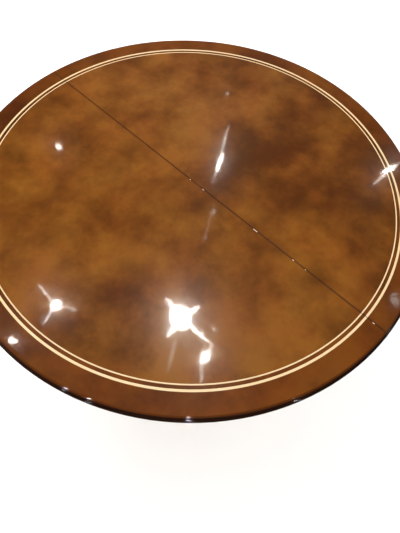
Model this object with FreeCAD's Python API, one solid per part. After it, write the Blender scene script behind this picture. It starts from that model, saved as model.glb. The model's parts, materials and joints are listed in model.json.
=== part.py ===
import FreeCAD, Part
import math
import os

# Round extending pedestal table: a 1220 mm split top on geared wooden slides, over a turned
# column with four sabre legs.
#
# Frame: millimetres, +Z up, origin on the floor under the column's axis. The two halves of
# the top part along X, and the seam between them runs along Y. Front is -Y, left is -X.
# Each function below makes one family of pieces, and returns {node name: list of solids}.

V = FreeCAD.Vector
UP = V(0, 0, 1)
CENTRE = V(0, 0, 0)

# ---------------------------------------------------------------- driving dimensions
TABLE_HEIGHT = 750.0
TOP_RADIUS = 610.0
HALF_TRAVEL = 250.0  # each half slides out this far, for a 457 mm leaf and its pins
SEAM_GAP = 0.8
ARRIS_RADIUS = 0.4

# Top, from the show face down
VENEER = 1.5
PANEL_THICKNESS = 24.0
EDGE_HEIGHT = 30.0
FLAT_RADIUS = 599.0  # where the flat top ends and the edge moulding turns over
EDGE_RING_INNER = 584.0
INNER_LINE = (535.9, 538.9)
OUTER_LINE = (547.1, 552.5)
APRON_OUTER = 535.0
APRON_INNER = 515.0
APRON_HEIGHT = 65.0

# Slides
RAIL_WIDTH = 24.0
RAIL_HEIGHT = 44.0
RAIL_CLEARANCE = 0.5  # between a fixed rail and the moving rail beside it
FIXED_RAIL_Y = 170.0
FIXED_RAIL_HALF_LENGTH = 330.0
MOVING_RAIL_OUTER_END = 430.0
MOVING_RAIL_INNER_END = 145.0
KEY_INNER_END = 121.0
KEY_DEPTH = 10.0
KEY_ROOT_HALF = 7.0
KEY_TIP_HALF = 10.0
KEY_CLEARANCE = 0.4
GROOVE_END_WALL = 15.0
RELIEF = 1.5  # taken off a moving rail's top where it runs under the other half

# Rack and pinion
MODULE = 2.5
PINION_TEETH = 16
PRESSURE_ANGLE = math.radians(20)
BACKLASH = 0.3
GEAR_THICKNESS = 12.0
RACK_BAR_WIDTH = 15.0
RACK_FIXED_END = 200.0
RACK_PACKER_INNER_END = 60.0
PIN_RUNNING_CLEARANCE = 0.05
ADDENDUM = 0.8 * MODULE
DEDENDUM = 1.25 * MODULE

# Locks
LOCK_Y = 330.0
LOCK_PIVOT_X = -28.0
LOCK_STUD_X = 20.0
LOCK_PLATE = 2.5
LOCK_STUD_RADIUS = 4.0
LOCK_HEAD_RADIUS = 7.0
LEVER_THICKNESS = 4.0

# Pedestal
BLOCK_SIDE = 440.0
BLOCK_THICKNESS = 30.0
HUB_TOP = 290.0
HUB_BOTTOM = 190.0
HUB_RADIUS = 78.0
SPIGOT_RADIUS = 24.0
SPIGOT_LENGTH = 28.0
ROD_RADIUS = 6.0
ROD_BORE = 7.0
LEG_START = 74.0
LEG_TOE = 432.0
LEG_WIDTH = (46.0, 30.0)  # at the hub and at the toe
LEG_DEPTH = (88.0, 32.0)
REED_HEIGHT = 3.2
CAP_WALL = 2.2
CAP_START = 382.0
GLIDE_HEIGHT = 7.0
SPIDER_THICKNESS = 3.0
WASHER_RADIUS = 17.0
WASHER = 2.5
NUT = 10.0
NUT_RECESS = 20.0
RECESS_DEPTH = 15.0

# ---------------------------------------------------------------- heights that follow
PANEL_TOP = TABLE_HEIGHT - VENEER
PANEL_BOTTOM = PANEL_TOP - PANEL_THICKNESS
EDGE_BOTTOM = TABLE_HEIGHT - EDGE_HEIGHT
APRON_BOTTOM = PANEL_BOTTOM - APRON_HEIGHT
MOVING_RAIL_BOTTOM = PANEL_BOTTOM - RAIL_HEIGHT
BLOCK_TOP = MOVING_RAIL_BOTTOM - 1.0
BLOCK_BOTTOM = BLOCK_TOP - BLOCK_THICKNESS
FIXED_RAIL_TOP = BLOCK_TOP + RAIL_HEIGHT
KEY_Z = (MOVING_RAIL_BOTTOM + PANEL_BOTTOM) / 2
RACK_BOTTOM = PANEL_BOTTOM - 20.0
RACK_TOP = RACK_BOTTOM + GEAR_THICKNESS
PITCH = math.pi * MODULE
PITCH_RADIUS = MODULE * PINION_TEETH / 2
PIN_Z = PANEL_BOTTOM + PANEL_THICKNESS / 2
LEVER_TOP = PANEL_BOTTOM - 4.0
LEVER_BOTTOM = LEVER_TOP - LEVER_THICKNESS
SPIDER_BOTTOM = HUB_BOTTOM - SPIDER_THICKNESS
TOE_Z = GLIDE_HEIGHT + CAP_WALL + LEG_DEPTH[1] / 2
LEG_PATH = [(LEG_START, 234.0), (192.0, 250.0), (258.0, TOE_Z), (LEG_TOE, TOE_Z)]

SIDES = {"left": -1, "right": 1}
ENDS = {"front": -1, "back": 1}
CORNERS = {"back_right": 45, "back_left": 135, "front_left": 225, "front_right": 315}
PIN_PLACES = (-480.0, -160.0, 160.0, 480.0)


# ---------------------------------------------------------------- shape helpers
def box(x0, x1, y0, y1, z0, z1):
    """A box between two corners, given in any order."""
    low = V(min(x0, x1), min(y0, y1), min(z0, z1))
    return Part.makeBox(abs(x1 - x0), abs(y1 - y0), abs(z1 - z0), low)


def cylinder(radius, z0, z1, x=0.0, y=0.0):
    return Part.makeCylinder(radius, z1 - z0, V(x, y, z0))


def rod_along_x(radius, x0, x1, y, z):
    return Part.makeCylinder(radius, x1 - x0, V(x0, y, z), V(1, 0, 0))


def tube(inner, outer, z0, z1, x=0.0, y=0.0):
    return cylinder(outer, z0, z1, x, y).cut(cylinder(inner, z0 - 1, z1 + 1, x, y))


def turned_about(shape, degrees, x=0.0, y=0.0):
    """A copy of shape, turned about the vertical line through x, y."""
    copy = shape.copy()
    copy.rotate(V(x, y, 0), UP, degrees)
    return copy


def moved(shape, x=0.0, y=0.0, z=0.0):
    copy = shape.copy()
    copy.translate(V(x, y, z))
    return copy


def outline_edges(outline, place):
    """Edges of an outline whose points place() puts in space.

    The first item is a point. Each later one is a point, for a straight run; a pair, for an
    arc through the first to the second; or three, for a curve with two handles and an end.
    """
    edges = []
    at = place(outline[0])
    for item in outline[1:]:
        if not isinstance(item[0], tuple):
            end = place(item)
            edges.append(Part.LineSegment(at, end).toShape())
        elif len(item) == 2:
            end = place(item[1])
            edges.append(Part.Arc(at, place(item[0]), end).toShape())
        else:
            end = place(item[2])
            curve = Part.BezierCurve()
            curve.setPoles([at, place(item[0]), place(item[1]), end])
            edges.append(curve.toShape())
        at = end
    start = place(outline[0])
    if (start - at).Length > 1e-6:
        edges.append(Part.LineSegment(at, start).toShape())
    return edges


def turned(outline):
    """A solid of revolution about Z, from an outline of (radius, height) points."""
    edges = outline_edges(outline, lambda p: V(p[0], 0, p[1]))
    return Part.Face(Part.Wire(edges)).revolve(CENTRE, UP, 360)


def plate(outline, z0, z1):
    """A flat plate from an outline of (x, y) points."""
    edges = outline_edges(outline, lambda p: V(p[0], p[1], z0))
    return Part.Face(Part.Wire(edges)).extrude(V(0, 0, z1 - z0))


def along_x(outline, x0, x1):
    """A bar along X whose section is an outline of (y, z) points."""
    edges = outline_edges(outline, lambda p: V(x0, p[0], p[1]))
    return Part.Face(Part.Wire(edges)).extrude(V(x1 - x0, 0, 0))


def without(shape, tools):
    """shape with every tool cut out of it."""
    for tool in tools:
        shape = shape.cut(tool)
    return shape


def rounded_upright(shape, radius):
    """shape with its upright edges filleted."""
    return shape.makeFillet(radius, [e for e in shape.Edges if e.BoundBox.ZLength > 1])


def half_of(shape, side):
    """The part of shape on one side of the seam."""
    reach = 2 * TOP_RADIUS
    keep = box(side * SEAM_GAP / 2, side * reach, -reach, reach, 0, 2 * TABLE_HEIGHT)
    return shape.common(keep)


def wood_screw(x, y, z, length, head=4.5, shank=2.2, down=False):
    """A countersunk screw and its hole. The head is flush at z; the point is up, or down."""
    slope = head - shank
    tip = 2.5 * shank
    hole = turned([(0, 0), (head, 0), (shank, slope), (shank, length - tip), (0, length)])
    slot = box(-head * 0.55, head * 0.55, -0.6, 0.6, -1, 1.4)
    screw = hole.cut(slot).cut(turned_about(slot, 90))
    if down:
        screw.rotate(CENTRE, V(1, 0, 0), 180)
        hole.rotate(CENTRE, V(1, 0, 0), 180)
    return moved(screw, x, y, z), moved(hole, x, y, z)


def bodies(screws):
    """The screws themselves, from pairs of a screw and its hole."""
    return [screw for screw, hole in screws]


def holes(screws):
    return [hole for screw, hole in screws]


def all_turned_about(screws, degrees):
    return [tuple(turned_about(s, degrees) for s in pair) for pair in screws]


# ---------------------------------------------------------------- the top's two halves
def edge_moulding_ring():
    """Solid wood edge: a quarter-round thumb, a quirk, and a small bead under it."""
    top = TABLE_HEIGHT
    return turned(
        [
            (EDGE_RING_INNER, EDGE_BOTTOM),
            (EDGE_RING_INNER, PANEL_TOP),
            (FLAT_RADIUS, PANEL_TOP),
            (FLAT_RADIUS, top),
            ((603.4, top - 1.8), (605.2, top - 6.2)),
            (603.6, top - 7.2),
            (603.6, top - 8.2),
            ((TOP_RADIUS, top - 13.6), (603.6, top - 19.0)),
            (602.2, top - 19.0),
            ((598.6, top - 22.4), (596.0, EDGE_BOTTOM)),
        ]
    )


def apron_ring():
    """The skirt under the top, with a bead along its lower edge."""
    return turned(
        [
            (APRON_INNER, PANEL_BOTTOM),
            (APRON_OUTER, PANEL_BOTTOM),
            (APRON_OUTER, APRON_BOTTOM + 16.0),
            (APRON_OUTER + 1.6, APRON_BOTTOM + 16.0),
            (APRON_OUTER + 1.6, APRON_BOTTOM + 13.6),
            ((APRON_OUTER + 6.6, APRON_BOTTOM + 8.6), (APRON_OUTER + 1.6, APRON_BOTTOM + 3.6)),
            (APRON_OUTER, APRON_BOTTOM + 3.0),
            (APRON_OUTER, APRON_BOTTOM),
            (APRON_INNER, APRON_BOTTOM),
        ]
    )


def seam_wedge():
    """What rounds off both arrises of the seam."""
    half, radius, top = SEAM_GAP / 2, ARRIS_RADIUS, TABLE_HEIGHT
    wide, low, near = half + radius, top - radius, radius * (1 - math.sqrt(0.5))
    outline = [
        (-wide, top),
        ((-half - near, top - near), (-half, low)),
        (half, low),
        ((half + near, top - near), (wide, top)),
    ]
    reach = TOP_RADIUS + 10
    edges = outline_edges(outline, lambda p: V(p[0], -reach, p[1]))
    return Part.Face(Part.Wire(edges)).extrude(V(0, 2 * reach, 0))


def show_faces():
    """Veneers, inlaid lines and edge moulding, one of each for each half."""
    rings = {
        "field_veneer": [cylinder(INNER_LINE[0], PANEL_TOP, TABLE_HEIGHT)],
        "inner_line": [tube(*INNER_LINE, PANEL_TOP, TABLE_HEIGHT)],
        "outer_line": [tube(*OUTER_LINE, PANEL_TOP, TABLE_HEIGHT)],
        "border_veneer": [
            tube(INNER_LINE[1], OUTER_LINE[0], PANEL_TOP, TABLE_HEIGHT),
            tube(OUTER_LINE[1], FLAT_RADIUS, PANEL_TOP, TABLE_HEIGHT),
        ],
        "edge_moulding": [edge_moulding_ring()],
    }
    wedge = seam_wedge()
    made = {}
    for name, solids in rings.items():
        for side_name, side in SIDES.items():
            halves = [half_of(s, side) for s in solids]
            if name != "edge_moulding":
                halves = [half.cut(wedge) for half in halves]
            made[f"{side_name}_{name}"] = halves
    return made


def aprons():
    made = {}
    for side_name, side in SIDES.items():
        made[f"{side_name}_apron"] = [half_of(apron_ring(), side)]
        made[f"{side_name}_glue_blocks"] = glue_blocks(side)
    return made


def glue_blocks(side):
    """Four blocks that hold an apron half to its panel."""
    depth, half_length, height, corner = 24.0, 30.0, 26.0, 8.0
    inner = APRON_INNER - depth
    outline = [
        (inner + corner, -half_length), (APRON_INNER, -half_length), (APRON_INNER, half_length),
        (inner + corner, half_length), (inner, half_length - corner), (inner, corner - half_length),
    ]
    block = plate(outline, PANEL_BOTTOM - height, PANEL_BOTTOM)
    block = block.common(cylinder(APRON_INNER, 0, TABLE_HEIGHT))
    facing = 0 if side > 0 else 180
    return [turned_about(block, facing + angle) for angle in (-72, -38, 38, 72)]


def panels(bites):
    """The two core panels, with their holes for pins, bushes and screws."""
    disc = cylinder(EDGE_RING_INNER, PANEL_BOTTOM, PANEL_TOP)
    return {
        f"{name}_panel": [without(half_of(disc, side), bites[name])]
        for name, side in SIDES.items()
    }


# ---------------------------------------------------------------- pins that line up the halves
def locating_pins():
    pins, bushes, bores = [], [], []
    radius, root, reach = 4.0, 24.0, 12.0
    bush_radius, bush_end = 6.5, 22.0
    for y in PIN_PLACES:
        shaft = rod_along_x(radius, -root, reach - 3.0, y, PIN_Z)
        nose = Part.makeCone(radius, 2.0, 3.0, V(reach - 3.0, y, PIN_Z), V(1, 0, 0))
        pins.append(shaft.fuse(nose).removeSplitter())
        outside = rod_along_x(bush_radius, SEAM_GAP / 2, bush_end, y, PIN_Z)
        bores.append(outside)
        bushes.append(outside.cut(rod_along_x(radius + 0.3, -1, bush_end + 1, y, PIN_Z)))
    return pins, bushes, bores


# ---------------------------------------------------------------- slides
def key_section(face_y, direction, clearance=0.0):
    """The dovetail key that stands out of a rail's face, grown by a clearance."""
    root, tip = KEY_ROOT_HALF + clearance, KEY_TIP_HALF + clearance
    end_y = face_y + direction * (KEY_DEPTH + clearance)
    return [
        (face_y, KEY_Z - root), (end_y, KEY_Z - tip),
        (end_y, KEY_Z + tip), (face_y, KEY_Z + root),
    ]


def fixed_rail(end):
    """The middle member of a slide: it stays on the pedestal and carries both keys."""
    y0 = end * (FIXED_RAIL_Y - RAIL_WIDTH / 2)
    y1 = end * (FIXED_RAIL_Y + RAIL_WIDTH / 2)
    rail = box(
        -FIXED_RAIL_HALF_LENGTH, FIXED_RAIL_HALF_LENGTH, y0, y1, BLOCK_TOP, FIXED_RAIL_TOP
    )
    left_key = along_x(key_section(y1, end), -FIXED_RAIL_HALF_LENGTH, -KEY_INNER_END)
    right_key = along_x(key_section(y0, -end), KEY_INNER_END, FIXED_RAIL_HALF_LENGTH)
    return rail.fuse(left_key).fuse(right_key).removeSplitter()


def moving_rail(side, end):
    """A moving member. The left half's pair runs outside the fixed rails, the right's inside."""
    outward = end if side < 0 else -end
    fixed_face = end * FIXED_RAIL_Y + outward * RAIL_WIDTH / 2
    near = fixed_face + outward * RAIL_CLEARANCE
    far = near + outward * RAIL_WIDTH
    outer_x, inner_x = side * MOVING_RAIL_OUTER_END, -side * MOVING_RAIL_INNER_END
    rail = box(outer_x, inner_x, near, far, MOVING_RAIL_BOTTOM, PANEL_BOTTOM)
    groove_end = inner_x + side * GROOVE_END_WALL
    section = key_section(fixed_face, outward, KEY_CLEARANCE)
    groove = along_x(section, min(outer_x, groove_end), max(outer_x, groove_end))
    relief = box(side * 6, -side * TOP_RADIUS, near, far, PANEL_BOTTOM - RELIEF, PANEL_BOTTOM)
    rail = rail.cut(groove).cut(relief)
    lower = [e for e in rail.Edges if is_lower_end(e)]
    return rail.makeChamfer(8.0, lower)


def is_lower_end(edge):
    """True for the bottom edge across a moving rail's end."""
    spans_y = abs(edge.BoundBox.YLength - RAIL_WIDTH) < 0.01
    low = edge.BoundBox.ZMax < MOVING_RAIL_BOTTOM + 0.01
    return spans_y and low


def slides():
    made, screws = {}, {"left": [], "right": [], "fixed": []}
    for end_name, end in ENDS.items():
        below = [
            wood_screw(x, end * FIXED_RAIL_Y, BLOCK_BOTTOM, 62) for x in (-180, 0, 180)
        ]
        screws["fixed"] += below
        made[f"fixed_slide_{end_name}"] = [without(fixed_rail(end), holes(below))]
        for side_name, side in SIDES.items():
            from_middle = 29.5 if side < 0 else -29.5
            y = end * (FIXED_RAIL_Y + from_middle)
            up = [
                wood_screw(side * x, y, MOVING_RAIL_BOTTOM, 60) for x in (405, 240, 70)
            ]
            screws[side_name] += up
            rail = moving_rail(side, end)
            made[f"{side_name}_slide_{end_name}"] = [without(rail, holes(up))]
    return made, screws


# ---------------------------------------------------------------- rack and pinion
def involute(base_radius, radius):
    """The angle that an involute has turned through by the time it reaches radius."""
    roll = math.sqrt(max((radius / base_radius) ** 2 - 1, 0))
    return roll - math.atan(roll)


def polar(radius, angle, z=0.0):
    return V(radius * math.cos(angle), radius * math.sin(angle), z)


def pinion():
    """A spur gear with involute flanks. One tooth points along +Y, towards the left rack."""
    root, tip = PITCH_RADIUS - DEDENDUM, PITCH_RADIUS + ADDENDUM
    base = PITCH_RADIUS * math.cos(PRESSURE_ANGLE)
    tooth_half = (PITCH / 2 - BACKLASH) / 2 / PITCH_RADIUS
    half_at_base = tooth_half + involute(base, PITCH_RADIUS)
    steps = 5
    radii = [base + (tip - base) * i / steps for i in range(steps + 1)]
    step = 2 * math.pi / PINION_TEETH
    edges = []
    for tooth in range(PINION_TEETH):
        middle = math.pi / 2 + tooth * step
        rising = [polar(r, middle - half_at_base + involute(base, r), RACK_BOTTOM) for r in radii]
        falling = [polar(r, middle + half_at_base - involute(base, r), RACK_BOTTOM) for r in radii]
        falling.reverse()
        foot_in = polar(root, middle - half_at_base, RACK_BOTTOM)
        foot_out = polar(root, middle + half_at_base, RACK_BOTTOM)
        next_foot = polar(root, middle + step - half_at_base, RACK_BOTTOM)
        edges.append(Part.LineSegment(foot_in, rising[0]).toShape())
        edges.append(spline_through(rising))
        edges.append(Part.Arc(rising[-1], polar(tip, middle, RACK_BOTTOM), falling[0]).toShape())
        edges.append(spline_through(falling))
        edges.append(Part.LineSegment(falling[-1], foot_out).toShape())
        valley = polar(root, middle + step / 2, RACK_BOTTOM)
        edges.append(Part.Arc(foot_out, valley, next_foot).toShape())
    blank = Part.Face(Part.Wire(edges)).extrude(V(0, 0, GEAR_THICKNESS))
    bore = cylinder(ROD_RADIUS + PIN_RUNNING_CLEARANCE, RACK_BOTTOM - 1, RACK_TOP + 1)
    return blank.cut(bore)


def spline_through(points):
    curve = Part.BSplineCurve()
    curve.interpolate(points)
    return curve.toShape()


def left_rack():
    """The left half's rack: a toothed bar beside the pinion, which runs on under the right half."""
    first, last = -2, math.ceil(HALF_TRAVEL / PITCH) + 1
    slope = math.tan(PRESSURE_ANGLE)
    tooth = PITCH / 2 - BACKLASH
    tip_half, root_half = tooth / 2 - ADDENDUM * slope, tooth / 2 + DEDENDUM * slope
    tip_y, root_y = PITCH_RADIUS - ADDENDUM, PITCH_RADIUS + DEDENDUM
    back_y = root_y + RACK_BAR_WIDTH
    toothed_end = (last + 1) * PITCH + 4
    outline = [(-RACK_FIXED_END, back_y), (-RACK_FIXED_END, root_y)]
    for gap in range(first, last + 1):
        middle = (gap + 0.5) * PITCH
        outline += [
            (middle - root_half, root_y), (middle - tip_half, tip_y),
            (middle + tip_half, tip_y), (middle + root_half, root_y),
        ]
    outline += [(toothed_end, root_y), (toothed_end, back_y)]
    bar = plate(outline, RACK_BOTTOM, RACK_TOP)
    packer = box(
        -RACK_FIXED_END, -RACK_PACKER_INNER_END, root_y, back_y, RACK_TOP, PANEL_BOTTOM
    )
    middle_y = (root_y + back_y) / 2
    screws = [wood_screw(-x, middle_y, RACK_BOTTOM, 32, 4.0, 2.0) for x in (185, 130, 75)]
    return [without(bar, holes(screws)), without(packer, holes(screws))], screws


def gears():
    rack, screws = left_rack()
    made = {
        "pinion": [pinion()],
        "left_rack": rack,
        "right_rack": [turned_about(s, 180) for s in rack],
    }
    return made, {"left": screws, "right": all_turned_about(screws, 180)}


def gear_mount():
    """The steel plate on the bearer block, the stepped post on it, and the pinion's clip."""
    thickness, half_x, half_y = 4.0, 46.0, 32.0
    top = BLOCK_TOP + thickness
    sheet = box(-half_x, half_x, -half_y, half_y, BLOCK_TOP, top)
    sheet = rounded_upright(sheet, 8.0)
    screws = [
        wood_screw(x, y, top, 24, 4.5, 2.2, down=True)
        for x in (-half_x + 10, half_x - 10)
        for y in (-half_y + 10, half_y - 10)
    ]
    step_top, post_top, foot = RACK_BOTTOM - 0.2, RACK_TOP + 3.5, 16.0
    post = turned(
        [
            (0, top), (foot, top), (foot, top + 3), (11.0, top + 4.5), (11.0, step_top),
            (ROD_RADIUS, step_top), (ROD_RADIUS, post_top - 1), (ROD_RADIUS - 1, post_top),
            (0, post_top),
        ]
    )
    clip = tube(ROD_RADIUS, 11.0, RACK_TOP + 0.3, RACK_TOP + 1.8)
    clip = clip.cut(box(ROD_RADIUS - 1, 12, -2.5, 2.5, RACK_TOP, RACK_TOP + 3))
    made = {
        "gear_plate": [without(sheet, holes(screws))],
        "pinion_post": [post],
        "pinion_clip": [clip],
        "gear_plate_screws": bodies(screws),
    }
    return made, screws


# ---------------------------------------------------------------- table locks under the seam
def lock_lever():
    """A lever in its locked place, pointing along +X with its slot round the stud."""
    reach = LOCK_STUD_X - LOCK_PIVOT_X
    slot_half = LOCK_STUD_RADIUS + 0.6
    half_width, tail, tail_half = 11.0, -30.0, 7.0
    below, above = LEVER_BOTTOM - 1, LEVER_TOP + 1
    arm = plate(
        [
            (tail, -tail_half), (0, -half_width), (reach + 2, -half_width),
            ((reach + 2 + half_width, 0), (reach + 2, half_width)),
            (0, half_width), (tail, tail_half), ((tail - tail_half, 0), (tail, -tail_half)),
        ],
        LEVER_BOTTOM, LEVER_TOP,
    )
    finger = tube(-tail - 1, -tail + 3, LEVER_BOTTOM - 10, LEVER_BOTTOM).common(
        plate([(0, 0), (-40, -8.5), (-40, 8.5)], LEVER_BOTTOM - 20, LEVER_BOTTOM)
    )
    sweep = math.tan(math.radians(25))
    sector = tube(reach - slot_half, reach + slot_half, below, above).common(
        plate([(0, 0), (80, 0), (80, -80 * sweep)], below, above)
    )
    end = cylinder(slot_half, below, above, reach)
    pivot = cylinder(LOCK_STUD_RADIUS + 0.1, below, above)
    lever = without(arm.fuse(finger).removeSplitter(), [sector, end, pivot])
    return moved(lever, LOCK_PIVOT_X)


def open_lever(end):
    """One end's lever as stored: swung back along the seam."""
    lever = lock_lever()
    if end > 0:
        lever = lever.mirror(CENTRE, V(0, 1, 0))
    return moved(turned_about(lever, -end * 90, LOCK_PIVOT_X, 0), 0, end * LOCK_Y)


def headed_stud(x, y, head_top, head_bottom, bevel):
    """A round stud under a lock plate, with a bevelled head below it."""
    low = head_bottom + bevel
    stud = turned(
        [
            (0, head_bottom), (LOCK_HEAD_RADIUS - bevel, head_bottom), (LOCK_HEAD_RADIUS, low),
            (LOCK_HEAD_RADIUS, head_top), (LOCK_STUD_RADIUS, head_top),
            (LOCK_STUD_RADIUS, PANEL_BOTTOM - LOCK_PLATE), (0, PANEL_BOTTOM - LOCK_PLATE),
        ]
    )
    return moved(stud, x, y)


def plate_screws(xs, y):
    """Pairs of screws up through a lock's plate, one pair at each x."""
    low = PANEL_BOTTOM - LOCK_PLATE
    return [wood_screw(x, y + dy, low, 18, 3.6, 1.8) for x in xs for dy in (-22, 22)]


def lock_sheet(x0, x1, y):
    """The flat brass plate that a lever or a stud stands on."""
    half_length = 30.0
    low = PANEL_BOTTOM - LOCK_PLATE
    return rounded_upright(box(x0, x1, y - half_length, y + half_length, low, PANEL_BOTTOM), 5.0)


def locks():
    """Two locks: a pivoted lever on the left half, and a headed stud on the right half."""
    made = {"lock_plates": [], "lock_rivets": [], "lock_keepers": []}
    screws = {"left": [], "right": []}
    for end_name, end in ENDS.items():
        y = end * LOCK_Y
        near = plate_screws((-42, -14), y)
        far = plate_screws((LOCK_STUD_X,), y)
        stud = headed_stud(LOCK_STUD_X, y, LEVER_BOTTOM - 1, LEVER_BOTTOM - 3, 1.0)
        rivet = headed_stud(LOCK_PIVOT_X, y, LEVER_BOTTOM - 0.3, LEVER_BOTTOM - 2.5, 1.3)
        keeper = lock_sheet(6, 34, y).fuse(stud).removeSplitter()
        made["lock_plates"].append(without(lock_sheet(-50, -6, y), holes(near)))
        made["lock_keepers"].append(without(keeper, holes(far)))
        made["lock_rivets"].append(rivet)
        made[f"{end_name}_lock_lever"] = [open_lever(end)]
        screws["left"] += near
        screws["right"] += far
    return made, screws


# ---------------------------------------------------------------- pedestal
def column():
    """The turned baluster, with a spigot below and a bore for the tie rod."""
    top = BLOCK_BOTTOM
    shaft = turned(
        [
            (ROD_BORE, top),
            (90.0, top),
            ((94.5, top - 4.5), (90.0, top - 9.0)),
            (85.0, top - 9.0),
            (85.0, top - 12.5),
            ((65.0, top - 13.5), (57.0, top - 22.0), (55.0, top - 38.0)),
            (59.0, top - 38.0),
            (59.0, top - 41.0),
            ((63.5, top - 45.5), (59.0, top - 50.0)),
            (53.0, top - 50.0),
            (53.0, top - 53.5),
            (47.0, top - 55.5),
            (47.0, top - 67.5),
            ((45.5, top - 110.0), (56.0, top - 150.0), (56.0, 452.0)),
            (60.0, 452.0),
            (60.0, 449.0),
            ((65.5, 443.5), (60.0, 438.0)),
            (60.0, 435.0),
            (50.0, 433.0),
            ((51.0, 416.0), (75.0, 408.0), (75.0, 378.0)),
            ((75.0, 350.0), (51.0, 342.0), (50.0, 322.0)),
            (56.0, 322.0),
            (56.0, 319.0),
            ((60.5, 314.5), (56.0, 310.0)),
            (56.0, 307.5),
            ((57.0, 297.0), (66.0, HUB_TOP + 3.5), (81.0, HUB_TOP + 3.5)),
            (81.0, HUB_TOP),
            (SPIGOT_RADIUS, HUB_TOP),
            (SPIGOT_RADIUS, HUB_TOP - SPIGOT_LENGTH),
            (ROD_BORE, HUB_TOP - SPIGOT_LENGTH),
        ]
    )
    collar = turned(
        [
            (47.0, top - 56.5),
            (49.6, top - 56.5),
            ((52.0, top - 59.0), (49.6, top - 61.5)),
            ((52.0, top - 64.0), (49.6, top - 66.5)),
            (47.0, top - 66.5),
        ]
    )
    return {"column": [shaft], "neck_collar": [collar]}


def hub_blank():
    """The turned block that takes the four legs."""
    return turned(
        [
            (SPIGOT_RADIUS, HUB_TOP),
            (82.0, HUB_TOP),
            ((86.5, HUB_TOP - 4.5), (82.0, HUB_TOP - 9.0)),
            (HUB_RADIUS, HUB_TOP - 10.5),
            (HUB_RADIUS, HUB_BOTTOM),
            (ROD_BORE, HUB_BOTTOM),
            (ROD_BORE, HUB_TOP - SPIGOT_LENGTH),
            (SPIGOT_RADIUS, HUB_TOP - SPIGOT_LENGTH),
        ]
    )


def on_path(t):
    """The point and the direction of the leg's centre line, t from 0 at the hub to 1."""
    (x0, z0), (x1, z1), (x2, z2), (x3, z3) = LEG_PATH
    s = 1 - t
    x = s**3 * x0 + 3 * s * s * t * x1 + 3 * s * t * t * x2 + t**3 * x3
    z = s**3 * z0 + 3 * s * s * t * z1 + 3 * s * t * t * z2 + t**3 * z3
    dx = 3 * s * s * (x1 - x0) + 6 * s * t * (x2 - x1) + 3 * t * t * (x3 - x2)
    dz = 3 * s * s * (z1 - z0) + 6 * s * t * (z2 - z1) + 3 * t * t * (z3 - z2)
    return V(x, 0, z), V(dx, 0, dz).normalize()


def leg_size(t):
    """Half the leg's width and half its depth at t."""
    ease = t * (2 - t)
    width = LEG_WIDTH[0] + (LEG_WIDTH[1] - LEG_WIDTH[0]) * ease
    depth = LEG_DEPTH[0] + (LEG_DEPTH[1] - LEG_DEPTH[0]) * ease
    return width / 2, depth / 2


def section_wire(t, outline, upright=False):
    """A closed section across the leg at t, from (across, up) points."""
    at, along = on_path(t)
    if upright:
        along = V(1, 0, 0)
    up = V(-along.z, 0, along.x)
    edges = outline_edges(outline, lambda p: at + V(0, p[0], 0) + up * p[1])
    return Part.Wire(edges)


def leg_outline(t):
    """Three reeds on top, flat sides, and a bottom with rounded arrises."""
    w, d = leg_size(t)
    low, round_ = d - REED_HEIGHT, 4.0
    corner = round_ * (1 - math.sqrt(0.5))
    return [
        (-w + round_, -d),
        (w - round_, -d),
        ((w - corner, -d + corner), (w, -d + round_)),
        (w, low),
        ((2 * w / 3, d), (w / 3, low)),
        ((0.0, d), (-w / 3, low)),
        ((-2 * w / 3, d), (-w, low)),
        (-w, -d + round_),
        ((-w + corner, -d + corner), (-w + round_, -d)),
    ]


def cap_outline(t, grow):
    """A rounded rectangle round the leg's end."""
    w, d = leg_size(t)
    w, d, round_ = w + grow, d + grow, 5.0
    corner = round_ * (1 - math.sqrt(0.5))
    return [
        (-w + round_, -d),
        (w - round_, -d),
        ((w - corner, -d + corner), (w, -d + round_)),
        (w, d - round_),
        ((w - corner, d - corner), (w - round_, d)),
        (-w + round_, d),
        ((-w + corner, d - corner), (-w, d - round_)),
        (-w, -d + round_),
        ((-w + corner, -d + corner), (-w + round_, -d)),
    ]


def leg():
    """A sabre leg along +X, with the dovetail that slides up into the hub."""
    stations = [0.0, 0.12, 0.25, 0.37, 0.5, 0.62, 0.74, 0.87, 1.0]
    wires = [section_wire(t, leg_outline(t), upright=(t == 0.0)) for t in stations]
    body = Part.makeLoft(wires, True, False)
    body = body.cut(box(0, LEG_START + 44, -60, 60, HUB_BOTTOM - 40, HUB_BOTTOM))
    neck, tail, length = 11.0, 15.0, 16.0
    tenon = plate(
        [
            (LEG_START, -neck), (LEG_START, neck),
            (LEG_START - length, tail), (LEG_START - length, -tail),
        ],
        HUB_BOTTOM, HUB_TOP - 24,
    )
    return body.fuse(tenon).removeSplitter()


def nose_wire(x, grow):
    """A cap section past the leg's end, at x and square to it."""
    outline = cap_outline(1.0, grow)
    edges = outline_edges(outline, lambda p: V(x, p[0], TOE_Z + p[1]))
    return Part.Wire(edges)


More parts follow.
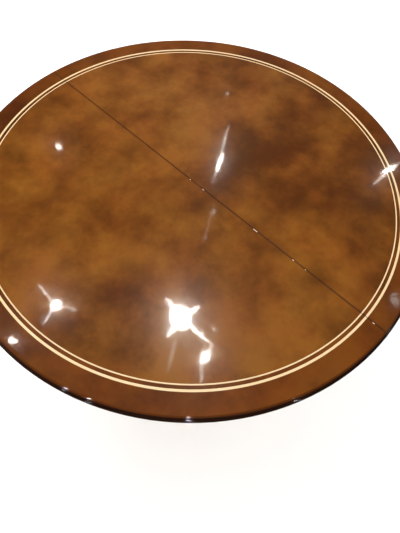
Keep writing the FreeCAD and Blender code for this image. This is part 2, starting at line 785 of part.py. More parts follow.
def toe_cap(leg_solid):
    """The brass sabot on the leg's end, with a raised rim where it starts."""
    start = next(i / 200 for i in range(200) if on_path(i / 200)[0].x > CAP_START)
    stations = [start + (1 - start) * i / 3 for i in range(4)]
    shell = Part.makeLoft([section_wire(t, cap_outline(t, CAP_WALL)) for t in stations], True, False)
    nose_end = LEG_TOE + 4.0
    front = nose_wire(nose_end, CAP_WALL)
    nose = Part.makeLoft([nose_wire(LEG_TOE, CAP_WALL), front], True, True)
    tip = Part.makeLoft([front, nose_wire(nose_end + 3.0, -1.0)], True, True)
    rim_length, rim_height = 4.0, 1.4
    speed = 3 * (LEG_TOE - LEG_PATH[2][0])  # of on_path, per unit of t, at the toe
    rim_stations = (start, start + rim_length / speed)
    rim = Part.makeLoft(
        [section_wire(t, cap_outline(t, CAP_WALL + rim_height)) for t in rim_stations], True, True
    )
    whole = shell.fuse(nose).fuse(tip).fuse(rim)
    whole = whole.cut(box(0, 2 * LEG_TOE, -60, 60, -20, GLIDE_HEIGHT))
    return whole.cut(leg_solid).removeSplitter()


def glide():
    """A nailed-on glide with a bevelled edge."""
    radius = 11.0
    pad = turned(
        [
            (0, 0), (radius - 1.5, 0), (radius, 1.5), (radius, GLIDE_HEIGHT), (0, GLIDE_HEIGHT),
        ]
    )
    return moved(pad, LEG_TOE - 18)


def base():
    """Hub, legs, toe caps and glides."""
    one_leg = leg()
    one_cap = toe_cap(one_leg)
    one_glide = glide().cut(one_cap)
    legs = {name: turned_about(one_leg, angle) for name, angle in CORNERS.items()}
    screws = []
    for angle in CORNERS.values():
        pair = [wood_screw(r, 0, SPIDER_BOTTOM, 30) for r in (40.0, 104.0)]
        screws += all_turned_about(pair, angle)
    made = {"leg_hub": [without(hub_blank(), list(legs.values()) + holes(screws))]}
    for name, angle in CORNERS.items():
        made[f"leg_{name}"] = [without(legs[name], holes(screws))]
        made[f"toe_cap_{name}"] = [turned_about(one_cap, angle)]
    made["foot_glides"] = [turned_about(one_glide, a) for a in CORNERS.values()]
    made["spider_plate"] = [without(spider_plate(), holes(screws))]
    made["spider_screws"] = bodies(screws)
    return made


def spider_plate():
    """The steel cross under the hub that ties the legs together."""
    half_width, reach = 15.0, 116.0
    shape = cylinder(54.0, SPIDER_BOTTOM, HUB_BOTTOM)
    for angle in (45, 135):
        arm = box(-reach, reach, -half_width, half_width, SPIDER_BOTTOM, HUB_BOTTOM)
        shape = shape.fuse(turned_about(rounded_upright(arm, 6.0), angle))
    return shape.removeSplitter().cut(cylinder(ROD_BORE, 0, HUB_TOP))


def hexagon(across_flats, z0, z1):
    radius = across_flats / math.sqrt(3)
    points = [polar(radius, math.radians(60 * i), z0) for i in range(7)]
    return Part.Face(Part.makePolygon(points)).extrude(V(0, 0, z1 - z0))


def tie_rod():
    """The rod that clamps bearer block, column, hub and spider plate, and the pendant below."""
    upper = BLOCK_TOP - RECESS_DEPTH
    bottom = SPIDER_BOTTOM - WASHER - NUT - 2.5
    rod = cylinder(ROD_RADIUS, bottom, upper + WASHER + NUT + 1.5)
    ends = []
    for z0, z1, nut0 in (
        (upper, upper + WASHER, upper + WASHER),
        (SPIDER_BOTTOM - WASHER, SPIDER_BOTTOM, SPIDER_BOTTOM - WASHER - NUT),
    ):
        ends.append(tube(ROD_RADIUS, WASHER_RADIUS, z0, z1))
        ends.append(hexagon(18.0, nut0, nut0 + NUT).cut(rod))
    cavity = WASHER_RADIUS + 2
    top = SPIDER_BOTTOM
    pendant = turned(
        [
            (cavity, top),
            (44.0, top),
            ((47.5, top - 3.5), (44.0, top - 7.0)),
            (38.0, top - 7.0),
            ((38.0, top - 30.0), (20.0, top - 34.0), (11.0, top - 46.0)),
            (14.0, top - 47.0),
            (14.0, top - 49.0),
            (8.0, top - 58.0 + math.sqrt(11.0**2 - 8.0**2)),
            ((11.0, top - 58.0), (0.0, top - 69.0)),
            (0.0, top - 19.0),
            (cavity, top - 19.0),
        ]
    )
    return {"tie_rod": [rod], "tie_rod_nuts": ends, "pendant": [pendant]}


def bearer_block(bites):
    """The hardwood block on the column's head, which the fixed slides lie on."""
    half = BLOCK_SIDE / 2
    block = box(-half, half, -half, half, BLOCK_BOTTOM, BLOCK_TOP)
    block = rounded_upright(block, 34.0)
    lower = [e for e in block.Edges if e.BoundBox.ZMax < BLOCK_BOTTOM + 0.01]
    block = block.makeChamfer(9.0, lower)
    recess = cylinder(NUT_RECESS, BLOCK_TOP - RECESS_DEPTH, BLOCK_TOP + 1)
    bore = cylinder(ROD_BORE, BLOCK_BOTTOM - 1, BLOCK_TOP)
    return {"bearer_block": [without(block, [recess, bore] + bites)]}


# ---------------------------------------------------------------- the whole table
def whole_table():
    made = {}
    made.update(show_faces())
    made.update(aprons())
    slide_parts, slide_screws = slides()
    gear_parts, gear_screws = gears()
    mount_parts, mount_screws = gear_mount()
    lock_parts, lock_screws = locks()
    for family in (slide_parts, gear_parts, mount_parts, lock_parts):
        made.update(family)
    pins, bushes, bores = locating_pins()
    bites = {"left": pins, "right": bores}
    for name in SIDES:
        screws = slide_screws[name] + gear_screws[name] + lock_screws[name]
        made[f"{name}_screws"] = bodies(screws)
        bites[name] = bites[name] + holes(screws)
    made["fixed_slide_screws"] = bodies(slide_screws["fixed"])
    made["locating_pins"] = pins
    made["pin_bushes"] = bushes
    made.update(panels(bites))
    made.update(bearer_block(holes(slide_screws["fixed"] + mount_screws)))
    made.update(column())
    made.update(base())
    made.update(tie_rod())
    return made


def export(made):
    os.makedirs("parts", exist_ok=True)
    for name, solids in sorted(made.items()):
        pieces = [s for shape in solids for s in shape.Solids]
        for number, piece in enumerate(pieces):
            if not piece.isValid() or piece.Volume <= 0:
                print("not a sound solid:", name, number)
        whole = pieces[0] if len(pieces) == 1 else Part.makeCompound(pieces)
        whole.exportStep(f"parts/{name}.step")
        size = whole.optimalBoundingBox()
        print(
            f"{name:24s} {len(pieces):3d} solids {whole.Volume / 1000:10.2f} cm3"
            f"  x {size.XMin:8.1f} {size.XMax:8.1f}  y {size.YMin:8.1f} {size.YMax:8.1f}"
            f"  z {size.ZMin:7.1f} {size.ZMax:7.1f}"
        )
    print(len(made), "nodes")


export(whole_table())
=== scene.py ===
import json
import math

import bpy
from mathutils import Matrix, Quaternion, Vector


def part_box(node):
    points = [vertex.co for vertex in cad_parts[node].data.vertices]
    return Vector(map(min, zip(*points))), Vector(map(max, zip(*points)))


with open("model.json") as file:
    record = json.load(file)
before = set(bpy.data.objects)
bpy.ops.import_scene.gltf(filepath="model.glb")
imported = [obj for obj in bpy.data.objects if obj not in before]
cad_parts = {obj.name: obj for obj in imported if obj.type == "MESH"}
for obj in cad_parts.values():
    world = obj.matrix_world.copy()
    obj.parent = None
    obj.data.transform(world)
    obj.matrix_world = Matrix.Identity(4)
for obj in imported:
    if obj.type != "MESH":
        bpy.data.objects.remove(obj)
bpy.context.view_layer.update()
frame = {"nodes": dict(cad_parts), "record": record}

# Round pedestal table: looks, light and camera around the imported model.
# Everything is in metres in the row's frame: +Z up, floor at z = 0, seam along Y.
# Colours are linear red, green, blue.

NODES = frame["nodes"]
TOP_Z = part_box("right_field_veneer")[1].z
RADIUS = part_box("right_edge_moulding")[1].x

# ---------------------------------------------------------------- camera
# It stands beside the table and looks down over the seam.
HEADING = math.radians(39.6)  # the way it faces, from +X towards +Y
TILT = math.radians(60.84)  # down from level
ROLL = math.radians(4.99)
CAMERA_BACK = 1.2347 * RADIUS
CAMERA_ASIDE = 0.0679 * RADIUS
CAMERA_ABOVE = 1.4513 * RADIUS
LENS = 29.04
SENSOR = 36.0
SHIFT = 0.00094  # of the picture's longer side

# ---------------------------------------------------------------- light
SOFT_WHITE = (1.0, 0.97, 0.92)
LAMP_WHITE = (1.0, 0.95, 0.88)
BACKGROUND = (0.86, 0.86, 0.86)
HORIZON = (0.12, (0.95, 0.95, 0.95))  # up to this height of a unit vector, and the light there
OVERHEAD = (0.34, (0.05, 0.045, 0.04))  # from this height of a unit vector, and the light there
ROOM_LIGHT = 2.65
ROOM_LIGHT_SPREAD = math.radians(120)
SOFTBOXES = (  # name, place (to the right, ahead, up), size, power
    ("softbox_behind", (0.0, -2.1, 2.9), 1.8, 12),
    ("softbox_left", (-2.9, -0.7, 2.3), 1.6, 52),
)
FLOOR_FILL_AT = (0.0, 3.2, 2.2)
FLOOR_FILL_TO = (0.0, 2.6, 0.0)
FLOOR_FILL_SIZE = 2.4
FLOOR_FILL_POWER = 90

# Small lamps, all at one height, for the highlights in the polish and on the edge.
# Their places are to the right and ahead of the table's centre, as the camera faces.
LAMP_ABOVE = 1.7  # above the top
RIM_LAMP_RADIANCE = 3500.0
RIM_LAMP_SIZE = 0.09
RIM_LAMPS = ((-1.38, -1.57), (-1.04, -1.66), (0.17, -1.76), (1.46, -1.45), (3.19, -0.30))
LAMP_RADIANCE = 80.0
LAMPS = (  # to the right, ahead, width, length, turn in degrees, strength
    (-0.060, 0.305, 0.138, 0.165, 20, 1.0),
    (-0.109, 0.370, 0.030, 0.180, 44, 0.6),
    (0.001, 0.344, 0.035, 0.150, -49, 0.6),
    (-0.093, 0.237, 0.035, 0.160, -27, 0.6),
    (0.045, 0.230, 0.022, 0.260, 52, 0.8),
    (-0.086, 0.052, 0.020, 0.220, -8, 0.08),
    (0.118, 0.055, 0.050, 0.095, -30, 1.0),
    (0.137, 0.099, 0.018, 0.110, -27, 0.4),
    (0.106, -0.032, 0.012, 0.160, -2, 0.25),
    (0.165, 0.237, 0.012, 0.016, 0, 0.5),
    (0.150, 0.262, 0.009, 0.012, 0, 0.3),
    (-0.864, 0.316, 0.065, 0.075, 0, 1.0),
    (-0.945, 0.385, 0.009, 0.200, 49, 0.55),
    (-0.800, 0.307, 0.009, 0.140, 86, 0.5),
    (-0.898, 0.244, 0.009, 0.140, -22, 0.7),
    (-1.071, 0.057, 0.055, 0.032, -15, 1.0),
    (0.126, 1.658, 0.026, 0.210, -10, 1.0),
    (0.126, 1.754, 0.012, 0.640, -8, 0.3),
    (0.073, 1.058, 0.014, 0.356, -8, 0.035),
    (0.099, 1.160, 0.030, 0.034, 0, 0.12),
    (0.059, 0.934, 0.030, 0.034, 0, 0.06),
    (0.147, 2.477, 0.016, 0.028, 0, 0.5),
    (-1.179, 1.676, 0.030, 0.050, 49, 1.0),
    (1.485, 1.739, 0.028, 0.150, -55, 0.9),
    (1.465, 1.696, 0.012, 0.370, -45, 0.4),
    (1.371, 0.563, 0.060, 0.090, 0, 0.08),
)

# ---------------------------------------------------------------- colours
FIELD_TONES = ((0.046, 0.0115, 0.0005), (0.111, 0.0325, 0.0020), (0.198, 0.071, 0.0070))
BORDER_TONES = ((0.044, 0.0096, 0.0003), (0.085, 0.0206, 0.0006), (0.143, 0.041, 0.0020))
BURL_HUES = ((1.08, 0.86, 0.75), (0.94, 1.07, 0.95))  # multiply the tones: redder, greener
LINE_TONES = ((0.65, 0.47, 0.245), (0.73, 0.56, 0.325))
LINE_AGED = (0.62, 0.42, 0.20)
# Painted reflection on the edge: near-black tones as dark surroundings mirrored in its polish, and
# a painted lighter brown where it rolls over from the top
EDGE_PAINTED_DARK_TONES = ((0.007, 0.0022, 0.0010), (0.022, 0.0065, 0.0022))
EDGE_PAINTED_TOP_LIGHT = (0.080, 0.022, 0.004)
SEAM_BROWN = (0.034, 0.010, 0.0022)
# Colour of the painted glints on the seam's arris
PAINTED_GLINT_COLOUR = (0.82, 0.62, 0.44)
MAHOGANY = ((0.052, 0.012, 0.0045), (0.175, 0.045, 0.013))
BOARD = ((0.30, 0.17, 0.085), (0.46, 0.29, 0.16))
BEECH = ((0.42, 0.25, 0.12), (0.60, 0.39, 0.21))
PINE = ((0.52, 0.33, 0.15), (0.66, 0.46, 0.24))
BRASS = ((0.78, 0.52, 0.20), (0.34, 0.19, 0.07))  # clean, tarnished
STEEL = ((0.56, 0.56, 0.55), (0.30, 0.29, 0.27))
ENAMEL = ((0.012, 0.012, 0.012), (0.022, 0.021, 0.020))
NYLON = ((0.030, 0.022, 0.018), (0.050, 0.038, 0.030))
FLOOR_TONES = ((0.86, 0.86, 0.86), (0.90, 0.90, 0.895))

# ---------------------------------------------------------------- surfaces
LACQUER_IOR = 1.5
SATIN_IOR = 1.45
BURL_CLOUDS = (  # noise scale, detail, roughness, distortion, and its share of the mix
    (3.4, 2.0, 0.5, 0.0, 0.50),
    (11.0, 2.0, 0.5, 0.2, 0.29),
    (30.0, 2.0, 0.5, 0.3, 0.13),
    (90.0, 3.0, 0.6, 0.0, 0.08),
)
BURL_STOPS = (0.385, 0.50, 0.615)  # where the mix is dark, middle and amber
BURL_ROUGH = (0.29, 0.34)  # under the lacquer
LACQUER_ROUGH = (0.045, 0.19)  # where it is clear, and where it is hazed or scratched
LACQUER_WAVES = 0.00012  # height of its ripples
GRAIN_RELIEF = 0.00012
METAL_MARKS = 0.00003
PEBBLES = 0.00008
HAIRLINES = ((0.3, 0.0), (1.3, 4.0), (2.4, 9.0))  # direction, seed
EDGE_PAINTED_LIGHT_BAND = (0.0024, 0.0006)  # below the top: where the edge's painted lighter band starts, and where it is lightest
SEAM_SIDE = (0.0006, 0.0010)  # from the seam: where a half's side ends, and where its top starts
SEAM_STAIN = (0.0008, 0.0045)  # from the seam: where the stain starts to fade, and where it is gone
# Painted glints: pale spots on the seam's arris that stand in for lamp glints
SEAM_PAINTED_GLINTS = (  # place along Y, half length
    (0.006, 0.0010), (-0.041, 0.0020), (-0.221, 0.0060),
    (-0.341, 0.0020), (-0.378, 0.0008), (-0.570, 0.0020),
)
GLINT_FADE = 0.0010
GLINT_EDGE = (-0.0024, -0.0018)  # the painted glints' outer edge across the seam, in X
FLOOR_SIZE = 60
FLOOR_DROP = 0.0004  # under the glides
LEGS = {"back_right": 45, "back_left": 135, "front_left": 225, "front_right": 315}  # degrees
ACROSS = (0, 0, math.pi / 2)  # turns for grained wood
UPRIGHT = (0, math.pi / 2, 0)
LEVEL = (0, 0, 0)
SKEWED = (0, 0, 0.7)


# ---------------------------------------------------------------- places
def facing(aside, ahead, z):
    """A point given to the right of and ahead of the table's centre, as the camera faces."""
    forward = Vector((math.cos(HEADING), math.sin(HEADING), 0))
    right = Vector((math.sin(HEADING), -math.cos(HEADING), 0))
    return right * aside + forward * ahead + Vector((0, 0, z))


# ---------------------------------------------------------------- node helpers
class Finish:
    """A material being built, with short calls for its nodes."""

    def __init__(self, name):
        self.material = bpy.data.materials.new(name)
        self.material.use_nodes = True
        self.tree = self.material.node_tree
        self.tree.nodes.clear()
        self.place = self.add("TexCoord").outputs["Object"]

    def add(self, kind, settings=None, **inputs):
        """A shader node. Inputs are given by name, with _ for a space, or as in0, in1."""
        node = self.tree.nodes.new("ShaderNode" + kind)
        for key, value in (settings or {}).items():
            setattr(node, key, value)
        for key, value in inputs.items():
            number = key[2:] if key.startswith("in") else ""
            socket = node.inputs[int(number) if number.isdigit() else key.replace("_", " ")]
            if isinstance(value, bpy.types.NodeSocket):
                self.tree.links.new(value, socket)
            else:
                socket.default_value = value
        return node

    def math(self, operation, a, b=0.0):
        return self.add("Math", {"operation": operation}, in0=a, in1=b).outputs[0]

    def noise(self, place, scale, detail=3.0, roughness=0.5, distortion=0.0):
        node = self.add(
            "TexNoise", None, Vector=place, Scale=scale, Detail=detail,
            Roughness=roughness, Distortion=distortion,
        )
        return node.outputs["Fac"]

    def move(self, place, by):
        return self.add("Mapping", None, Vector=place, Location=by).outputs[0]

    def stretch(self, place, scale, turn=(0, 0, 0)):
        """place turned, then scaled along each axis."""
        node = self.add("Mapping", {"vector_type": "TEXTURE"}, Vector=place, Rotation=turn)
        return self.add("Mapping", None, Vector=node.outputs[0], Scale=scale).outputs[0]

    def split(self, place):
        """The X, Y and Z of a place."""
        return self.add("SeparateXYZ", None, in0=place).outputs

    def ramp(self, value, stops, interpolation="LINEAR"):
        """A colour for each value, from stops of (value, colour)."""
        node = self.add("ValToRGB", None, Fac=value)
        node.color_ramp.interpolation = interpolation
        elements = node.color_ramp.elements
        while len(elements) < len(stops):
            elements.new(0.5)
        for element, (at, colour) in zip(elements, stops):
            element.position = at
            element.color = (*colour, 1.0)
        return node.outputs["Color"]

    def band(self, value, low, high, out_low=0.0, out_high=1.0):
        """value mapped from low..high to out_low..out_high, smoothly."""
        node = self.add(
            "MapRange", {"interpolation_type": "SMOOTHSTEP"}, Value=value,
            From_Min=low, From_Max=high, To_Min=out_low, To_Max=out_high,
        )
        return node.outputs["Result"]

    def mix(self, factor, a, b, blend="MIX"):
        """Colour a towards colour b. Either may be a plain colour or a socket."""
        node = self.tree.nodes.new("ShaderNodeMix")
        node.data_type = "RGBA"
        node.blend_type = blend
        for number, value in ((0, factor), (6, a), (7, b)):
            if isinstance(value, bpy.types.NodeSocket):
                self.tree.links.new(value, node.inputs[number])
            elif number:
                node.inputs[number].default_value = (*value, 1.0)
            else:
                node.inputs[number].default_value = value
        return node.outputs[2]

    def from_seam(self):
        """The distance from the seam."""
        return self.math("ABSOLUTE", self.split(self.place)["X"])

    def stained(self, colour, reach, strength):
        """colour with seam brown at the seam, fading out over reach."""
        return self.mix(self.band(self.from_seam(), *reach, strength, 0.0), colour, SEAM_BROWN)

    def bump(self, height, distance, strength=1.0):
        node = self.add("Bump", None, Height=height, Distance=distance, Strength=strength)
        return node.outputs["Normal"]

    def done(self, **inputs):
        """Closes the material with a Principled shader that has these inputs."""
        shader = self.add("BsdfPrincipled", None, **inputs)
        self.add("OutputMaterial", None, Surface=shader.outputs[0])
        return self.material


# ---------------------------------------------------------------- finishes
def hairlines(f):
    """1 along a few hairline scratches from wiping and polishing, 0 elsewhere."""
    lines = 0.0
    for turn, seed in HAIRLINES:
        moved = f.move(f.place, (seed, seed, 0))
        drawn = f.stretch(moved, (3.0, 90.0, 1.0), (0, 0, turn))
        noise = f.noise(drawn, scale=1.0, detail=1.0, distortion=0.3)
        off_centre = f.math("ABSOLUTE", f.math("SUBTRACT", noise, 0.5))
        ridge = f.band(off_centre, 0.0, 0.015, 1.0, 0.0)
        where = f.band(f.noise(moved, scale=8.0, detail=1.0), 0.55, 0.65)
        lines = f.math("MAXIMUM", lines, f.math("MULTIPLY", ridge, where))
    return lines


def painted_glints(f):
    """1 in the painted glints, small pale spots along the left half's arris where lamps glint on
    it, 0 elsewhere.
    """
    parts = f.split(f.place)
    nearest = 1.0
    for at, half in SEAM_PAINTED_GLINTS:
        away = f.math("ABSOLUTE", f.math("SUBTRACT", parts["Y"], at))
        nearest = f.math("MINIMUM", nearest, f.math("SUBTRACT", away, half))
    left = f.math("LESS_THAN", parts["X"], 0.0)
    across = f.math("MULTIPLY", f.band(parts["X"], *GLINT_EDGE), left)
    return f.math("MULTIPLY", f.band(nearest, 0.0, GLINT_FADE, 1.0, 0.0), across)


def burl_colour(f, place, tones):
    """Soft clouds of the three tones, with a drifting hue and a fine dark fibre."""
    mixed = 0.0
    for scale, detail, roughness, distortion, share in BURL_CLOUDS:
        noise = f.noise(place, scale, detail, roughness, distortion)
        mixed = f.math("ADD", f.math("MULTIPLY", noise, share), mixed)
    colour = f.ramp(mixed, list(zip(BURL_STOPS, tones)), "B_SPLINE")
    turned = f.stretch(place, (1, 1, 1), (0, 0, 1.1))
    hue = f.noise(turned, scale=8.0, detail=4.0, roughness=0.6)
    tint = f.ramp(hue, list(zip((0.35, 0.65), BURL_HUES)), "B_SPLINE")
    colour = f.mix(1.0, colour, tint, "MULTIPLY")
    fibre = f.noise(f.stretch(place, (900, 60, 60)), scale=1.0, roughness=0.6)
    return f.mix(f.band(fibre, 0.3, 0.7, 0.0, 0.10), colour, tones[0])


def mottled(name, tones, seed):
    """Burl under a deep clear lacquer. The sides of the seam are dark and bare."""
    f = Finish(name)
    place = f.move(f.place, (seed, seed * 0.7, 0))
    colour = burl_colour(f, place, tones)
    colour = f.stained(colour, SEAM_STAIN, 0.50)
    colour = f.stained(colour, SEAM_SIDE, 0.80)
    # painted glints along the left half's arris
    colour = f.mix(painted_glints(f), colour, PAINTED_GLINT_COLOUR)
    ripple = f.math("MULTIPLY", f.noise(f.place, scale=60.0, detail=1.0), 0.3)
    waves = f.math("ADD", f.noise(f.place, scale=17.0, detail=1.0), ripple)
    haze = f.band(f.noise(f.place, scale=900.0, detail=1.0), 0.50, 0.60)
    rubbed = f.math("MAXIMUM", hairlines(f), haze)
    swirl = f.noise(place, scale=5.0, detail=2.0)
    return f.done(
        Base_Color=colour, Roughness=f.band(swirl, 0.3, 0.7, *BURL_ROUGH),
        Specular_IOR_Level=0.08, Coat_IOR=LACQUER_IOR,
        Coat_Weight=f.band(f.from_seam(), *SEAM_SIDE, 0.1, 1.0),
        Coat_Roughness=f.band(rubbed, 0.0, 1.0, *LACQUER_ROUGH),
        Coat_Normal=f.bump(waves, LACQUER_WAVES),
    )


def round_the_table(f, side):
    """Coordinates that run round the table's axis, in metres of arc, for one half."""
    parts = f.split(f.place)
    angle = f.math("ARCTAN2", parts["Y"], f.math("MULTIPLY", parts["X"], float(side)))
    arc = f.math("MULTIPLY", angle, RADIUS)
    flat = f.add("CombineXYZ", None, X=parts["X"], Y=parts["Y"]).outputs[0]
    across = f.add("VectorMath", {"operation": "LENGTH"}, in0=flat).outputs["Value"]
    return f.add("CombineXYZ", None, X=arc, Y=across, Z=parts["Z"]).outputs[0]


def stringing(name, side):
    """Pale boxwood line, with its grain along the line, under the same lacquer."""
    f = Finish(name)
    place = round_the_table(f, side)
    grain = f.noise(f.stretch(place, (30, 900, 900)), scale=1.0, roughness=0.6)
    tone = f.noise(place, scale=9.0, detail=2.0)
    colour = f.ramp(grain, list(zip((0.3, 0.7), LINE_TONES)))
    colour = f.mix(f.band(tone, 0.3, 0.7, 0.0, 0.25), colour, LINE_AGED)
    colour = f.stained(colour, SEAM_SIDE, 0.8)
    return f.done(
        Base_Color=colour, Roughness=0.3,
        Coat_Weight=1.0, Coat_Roughness=0.035, Coat_IOR=LACQUER_IOR,
    )


def edge_in_painted_reflection(name, side):
    """Solid wood of the moulded edge, coloured near-black brown as a painted dark reflection, with
    a painted lighter brown band where it meets the top.
    """
    f = Finish(name)
    place = round_the_table(f, side)
    grain = f.noise(f.stretch(place, (8, 260, 260)), scale=1.0, detail=4.0, roughness=0.6)
    colour = f.ramp(grain, list(zip((0.3, 0.7), EDGE_PAINTED_DARK_TONES)))
    # painted lighter band at the top of the edge's roll, where it still faces up
    low, high = (TOP_Z - below for below in EDGE_PAINTED_LIGHT_BAND)
    painted_top_light = f.band(f.split(f.place)["Z"], low, high, 0.0, 0.85)
    colour = f.mix(painted_top_light, colour, EDGE_PAINTED_TOP_LIGHT)
    return f.done(
        Base_Color=colour, Roughness=0.3, Specular_IOR_Level=0.0,
        Coat_Weight=0.08, Coat_Roughness=0.02, Coat_IOR=LACQUER_IOR,
    )


def grained(name, tones, place_of, rough, coat, dark_seam=False):
    """Straight-grained wood. place_of gives coordinates whose X runs along the grain."""
    f = Finish(name)
    dark, light = tones
    place = place_of(f)
    broad = f.noise(f.stretch(place, (2.2, 26, 26)), scale=1.0, distortion=0.4)
    fine = f.noise(f.stretch(place, (14, 240, 240)), scale=1.0, detail=4.0, roughness=0.6)
    pores = f.noise(f.stretch(place, (45, 900, 900)), scale=1.0, detail=2.0)
    value = f.math("ADD", f.math("MULTIPLY", broad, 0.6), f.math("MULTIPLY", fine, 0.4))
    colour = f.ramp(value, [(0.32, dark), (0.62, light)])
    pore = f.band(pores, 0.62, 0.72, 0.0, 0.55)
    colour = f.mix(pore, colour, tuple(c * 0.35 for c in dark))
    if dark_seam:
        colour = f.stained(colour, SEAM_SIDE, 1.0)
    relief = f.math("SUBTRACT", fine, f.math("MULTIPLY", pore, 0.8))
    return f.done(
        Base_Color=colour, Roughness=f.band(fine, 0.3, 0.7, rough - 0.06, rough + 0.06),
        Specular_IOR_Level=0.25, Coat_Weight=coat, Coat_Roughness=0.10, Coat_IOR=SATIN_IOR,
        Normal=f.bump(relief, GRAIN_RELIEF, 0.6),
    )


def along(turn):
    """Coordinates turned so that X runs along the grain."""
    return lambda f: f.stretch(f.place, (1, 1, 1), turn)


def metal(name, tones, rough):
    """Plated or solid metal with cloudy tarnish and faint handling marks."""
    f = Finish(name)
    clean, tarnish = tones
    clouds = f.noise(f.place, scale=60.0, detail=4.0, roughness=0.6)
    specks = f.noise(f.place, scale=700.0, detail=2.0)
    shade = f.mix(f.band(clouds, 0.42, 0.68, 0.0, 0.7), clean, tarnish)
    shade = f.mix(f.band(specks, 0.66, 0.76, 0.0, 0.5), shade, tarnish)
    return f.done(
        Base_Color=shade, Metallic=1.0, Roughness=f.band(clouds, 0.35, 0.7, rough, rough + 0.16),
        Normal=f.bump(specks, METAL_MARKS, 0.3),
    )


def pebbled(name, tones, rough):
    """Moulded plastic or enamel: a fine pebbled skin and slight shade changes."""
    f = Finish(name)
    grains = f.noise(f.place, scale=900.0, detail=2.0)
    clouds = f.noise(f.place, scale=35.0)
    return f.done(
        Base_Color=f.mix(f.band(clouds, 0.35, 0.65), *tones),
        Roughness=f.band(clouds, 0.3, 0.7, rough - 0.08, rough + 0.08),
        Normal=f.bump(grains, PEBBLES, 0.5),
    )


def paint(material, *nodes):
    """Gives CAD nodes one finish all over."""
    for node in nodes:
        data = NODES[node].data
        data.materials.clear()
        data.materials.append(material)


def finish_top():
    burl = mottled("field_burl", FIELD_TONES, seed=3.1)
    border = mottled("border_burl", BORDER_TONES, seed=8.6)
    for name, side in (("left", -1), ("right", 1)):
        paint(burl, f"{name}_field_veneer")
        paint(border, f"{name}_border_veneer")
        paint(stringing(f"{name}_line", side), f"{name}_inner_line", f"{name}_outer_line")
        paint(edge_in_painted_reflection(f"{name}_edge", side), f"{name}_edge_moulding")
        apron = grained(
            f"{name}_apron", MAHOGANY, lambda f, s=side: round_the_table(f, s),
            rough=0.34, coat=0.5, dark_seam=True,
        )
        paint(apron, f"{name}_apron")


def finish_wood():
    upright = grained("mahogany_upright", MAHOGANY, along(UPRIGHT), rough=0.32, coat=0.5)
    paint(upright, "column", "leg_hub", "pendant")
    flat = grained("mahogany_flat", MAHOGANY, along(LEVEL), rough=0.4, coat=0.3)
    paint(flat, "bearer_block")
    low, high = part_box("leg_back_right")
    fall = math.atan2(high.z - low.z, (high.xy - low.xy).length)
    for corner, turn in LEGS.items():
        down_the_leg = along((0, fall, math.radians(turn)))
        wood = grained(f"mahogany_{corner}", MAHOGANY, down_the_leg, rough=0.32, coat=0.5)
        paint(wood, f"leg_{corner}")
    board = grained("core_board", BOARD, along(ACROSS), rough=0.6, coat=0.0, dark_seam=True)
    beech = grained("beech", BEECH, along(LEVEL), rough=0.5, coat=0.1)
    pine = grained("pine", PINE, along(SKEWED), rough=0.6, coat=0.0)
    for side in ("left", "right"):
        paint(board, f"{side}_panel")
        paint(pine, f"{side}_glue_blocks")
        paint(beech, f"{side}_slide_front", f"{side}_slide_back", f"{side}_rack")
    paint(beech, "fixed_slide_front", "fixed_slide_back")


def finish_metal():
    """The brass, steel, enamel and nylon pieces, found by the record's material slots."""
    slots = {
        "brass": metal("aged_brass", BRASS, rough=0.22),
        "steel": metal("zinc_steel", STEEL, rough=0.32),
        "black_steel": pebbled("black_enamel", ENAMEL, rough=0.42),
        "nylon": pebbled("dark_nylon", NYLON, rough=0.62),
    }
    for part in frame["record"]["subparts"]:
        if part["material_slot"] in slots:
            paint(slots[part["material_slot"]], part["node"])


# ---------------------------------------------------------------- stage, light, camera
def make_floor():
    bpy.ops.mesh.primitive_plane_add(size=FLOOR_SIZE, location=(0, 0, -FLOOR_DROP))
    floor = bpy.context.object
    floor.name = "studio_floor"
    f = Finish("pale_floor")
    clouds = f.noise(f.place, scale=1.5)
    colour = f.ramp(clouds, list(zip((0.3, 0.7), FLOOR_TONES)))
    floor.data.materials.append(f.done(Base_Color=colour, Roughness=0.75))


def make_world():
    """Pale to look at. Its light is pale round the horizon and dim overhead.

    A pale sky overhead would turn the polish milky.
    """
    world = bpy.data.worlds.new("studio")
    bpy.context.scene.world = world
    world.use_nodes = True
    tree = world.node_tree
    tree.nodes.clear()
    place = tree.nodes.new("ShaderNodeTexCoord")
    split = tree.nodes.new("ShaderNodeSeparateXYZ")
    ramp = tree.nodes.new("ShaderNodeValToRGB")
    path = tree.nodes.new("ShaderNodeLightPath")
    seen = tree.nodes.new("ShaderNodeMix")
    light = tree.nodes.new("ShaderNodeBackground")
    out = tree.nodes.new("ShaderNodeOutputWorld")
    seen.data_type = "RGBA"
    seen.inputs[7].default_value = (*BACKGROUND, 1)
    for element, (height, colour) in zip(ramp.color_ramp.elements, (HORIZON, OVERHEAD)):
        element.position = height
        element.color = (*colour, 1)
    tree.links.new(place.outputs["Generated"], split.inputs[0])
    tree.links.new(split.outputs["Z"], ramp.inputs[0])
    tree.links.new(path.outputs["Is Camera Ray"], seen.inputs[0])
    tree.links.new(ramp.outputs[0], seen.inputs[6])
    tree.links.new(seen.outputs[2], light.inputs[0])
    tree.links.new(light.outputs[0], out.inputs[0])


def add_light(name, kind, power):
    data = bpy.data.lights.new(name, kind)
    data.energy = power
    light = bpy.data.objects.new(name, data)
    bpy.context.collection.objects.link(light)
    return light


def area_light(name, at, target, size, power, colour=SOFT_WHITE, shape="SQUARE"):
    light = add_light(name, "AREA", power)
    light.data.shape = shape
    light.data.size = size
    light.data.color = colour
    light.location = at
    light.visible_camera = False
    light.rotation_mode = "QUATERNION"
    light.rotation_quaternion = (target - at).to_track_quat("-Z", "Y")
    return light


def ellipse_power(radiance, width, length):
    """The power of an elliptical lamp that shines this brightly."""
    return radiance * math.pi * math.pi / 4 * width * length


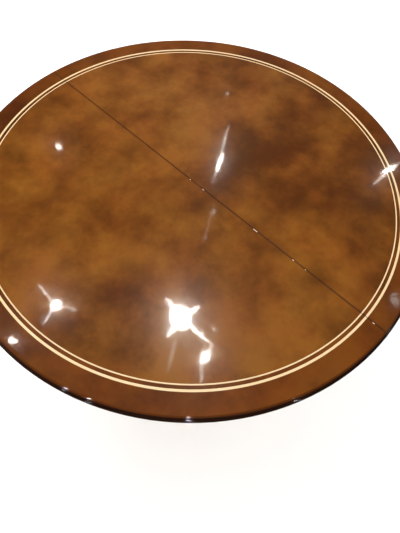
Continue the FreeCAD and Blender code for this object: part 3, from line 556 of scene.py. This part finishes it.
def soft_lights():
    """The light that falls on everything."""
    middle = Vector((0, 0, TOP_Z))
    for name, at, size, power in SOFTBOXES:
        area_light(name, facing(*at), middle, size, power)
    fill = area_light(
        "floor_fill", facing(*FLOOR_FILL_AT), facing(*FLOOR_FILL_TO),
        FLOOR_FILL_SIZE, FLOOR_FILL_POWER, (1.0, 1.0, 1.0),
    )
    fill.visible_glossy = False
    room = add_light("room_light", "SUN", ROOM_LIGHT)
    room.data.angle = ROOM_LIGHT_SPREAD
    room.visible_glossy = False


def rim_lamps():
    """Small strong lamps whose glints run along the edge, and that light nothing else."""
    power = ellipse_power(RIM_LAMP_RADIANCE, RIM_LAMP_SIZE, RIM_LAMP_SIZE)
    for number, (aside, ahead) in enumerate(RIM_LAMPS):
        lamp = area_light(
            f"rim_lamp_{number}", facing(aside, ahead, TOP_Z + LAMP_ABOVE),
            Vector((0, 0, TOP_Z)), RIM_LAMP_SIZE, power, shape="DISK",
        )
        lamp.visible_diffuse = False


def highlight_lamps():
    """The ceiling lamps whose stars and streaks show in the polish. They face down."""
    for number, (aside, ahead, width, length, turn, strength) in enumerate(LAMPS):
        at = facing(aside, ahead, TOP_Z + LAMP_ABOVE)
        power = ellipse_power(LAMP_RADIANCE * strength, width, length)
        below = at - Vector((0, 0, 1))
        lamp = area_light(f"lamp_{number}", at, below, width, power, LAMP_WHITE, "ELLIPSE")
        lamp.data.size_y = length
        heading = HEADING - math.pi / 2 + math.radians(turn)
        lamp.rotation_quaternion = Quaternion((0, 0, 1), heading)


def make_camera():
    data = bpy.data.cameras.new("camera")
    data.sensor_width = SENSOR
    data.lens = LENS
    data.shift_x, data.shift_y = -SHIFT, SHIFT
    camera = bpy.data.objects.new("camera", data)
    bpy.context.collection.objects.link(camera)
    camera.location = facing(CAMERA_ASIDE, -CAMERA_BACK, TOP_Z + CAMERA_ABOVE)
    look = facing(0, math.cos(TILT), -math.sin(TILT))
    camera.rotation_mode = "QUATERNION"
    camera.rotation_quaternion = look.to_track_quat("-Z", "Y") @ Quaternion((0, 0, 1), ROLL)
    bpy.context.scene.camera = camera


finish_top()
finish_wood()
finish_metal()
make_floor()
make_world()
soft_lights()
rim_lamps()
highlight_lamps()
make_camera()
bpy.context.scene.view_settings.view_transform = "Standard"
